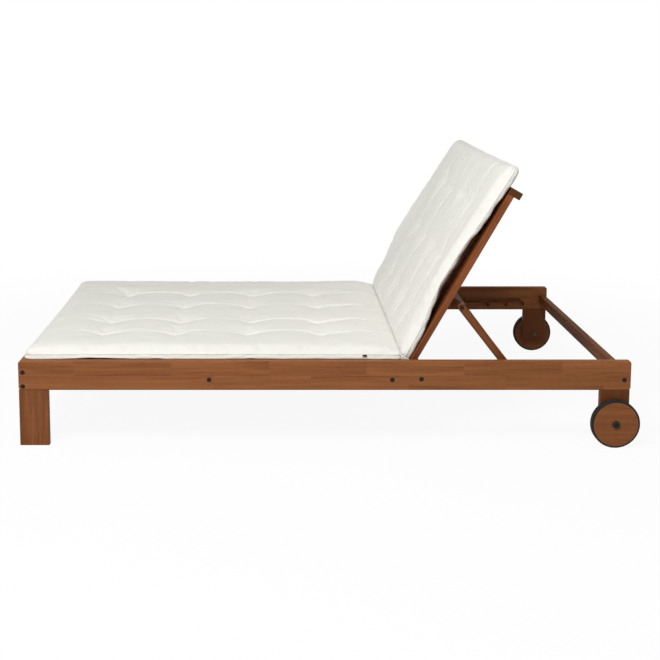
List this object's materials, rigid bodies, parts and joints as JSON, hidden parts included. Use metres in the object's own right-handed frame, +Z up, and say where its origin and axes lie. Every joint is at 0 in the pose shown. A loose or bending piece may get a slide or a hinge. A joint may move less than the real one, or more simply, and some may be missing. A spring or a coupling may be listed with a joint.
{
  "type": "double chaise lounger",
  "caption": "Low hardwood sun lounger for two with padded seat and hinged backrest, held up by a propping frame in notched racks, and wheels at the head end.",
  "frame": {"origin": "on the ground under the middle of the whole lounger", "axes": "+X from the foot end to the head end with the wheels, +Y from the near side to the far side, +Z up"},
  "size_m": [2.005, 1.3716, 0.9101],
  "materials": {
    "wood": "oiled satin",
    "canvas": "woven matt",
    "tyre": "matt",
    "steel": "satin",
    "dark_steel": "satin"
  },
  "bodies": {
    "frame": {"side_rail_near": "wood", "side_rail_far": "wood", "front_leg_near": "wood", "front_leg_far": "wood", "rear_leg_near": "wood", "rear_leg_far": "wood", "foot_cross_rail": "wood", "middle_cross_rail": "wood", "seat_cross_rail": "wood", "head_cross_rail": "wood", "seat_slat_01": "wood", "seat_slat_02": "wood", "seat_slat_03": "wood", "seat_slat_04": "wood", "seat_slat_05": "wood", "seat_slat_06": "wood", "seat_slat_07": "wood", "seat_slat_08": "wood", "seat_slat_09": "wood", "seat_slat_10": "wood", "hinge_bolts": "dark_steel", "hinge_washers": "steel", "axle_bolts": "dark_steel", "axle_washers": "steel", "axle_nuts": "steel", "seat_cushion": "canvas"},
    "backrest": {"back_slat_01": "wood", "back_slat_02": "wood", "back_slat_03": "wood", "back_slat_04": "wood", "back_slat_05": "wood", "back_slat_06": "wood", "back_slat_07": "wood", "back_slat_08": "wood", "back_slat_09": "wood", "back_slat_10": "wood", "back_top_rail": "wood", "back_middle_batten": "wood", "back_hinge_batten": "wood", "prop_bolts": "dark_steel"},
    "prop": {"prop_strut_near": "wood", "prop_strut_far": "wood", "prop_rod": "dark_steel"},
    "back_pad": {"back_cushion": "canvas"},
    "wheel_near": {"wheel_disc_near": "wood", "tyre_near": "tyre"},
    "wheel_far": {"wheel_disc_far": "wood", "tyre_far": "tyre"}
  },
  "joints": [
    {"name": "backrest_hinge", "type": "hinge", "parent": "frame", "child": "backrest", "pos_m": [0.2995, 0, 0.22], "axis": [0, 1, 0], "range_deg": [0, 59.5]},
    {"name": "prop_hinge", "type": "hinge", "parent": "backrest", "child": "prop", "pos_m": [0.4295, 0, 0.44977], "axis": [0, 1, 0], "range_deg": [-108.1, 0]},
    {"name": "pad_slide", "type": "slide", "parent": "backrest", "child": "back_pad", "axis": [-0.4924, 0, -0.8704], "range_m": [0, 0.095]},
    {"name": "wheel_near_spin", "type": "hinge", "parent": "frame", "child": "wheel_near", "pos_m": [0.9245, -0.667, 0.078], "axis": [0, 1, 0], "continuous": true},
    {"name": "wheel_far_spin", "type": "hinge", "parent": "frame", "child": "wheel_far", "pos_m": [0.9245, 0.667, 0.078], "axis": [0, 1, 0], "continuous": true}
  ],
  "couplings": [
    {"joint": "prop_hinge", "follows": "backrest_hinge", "ratio": -1.8145},
    {"joint": "pad_slide", "follows": "backrest_hinge", "m_per_rad": 0.09052}
  ]
}
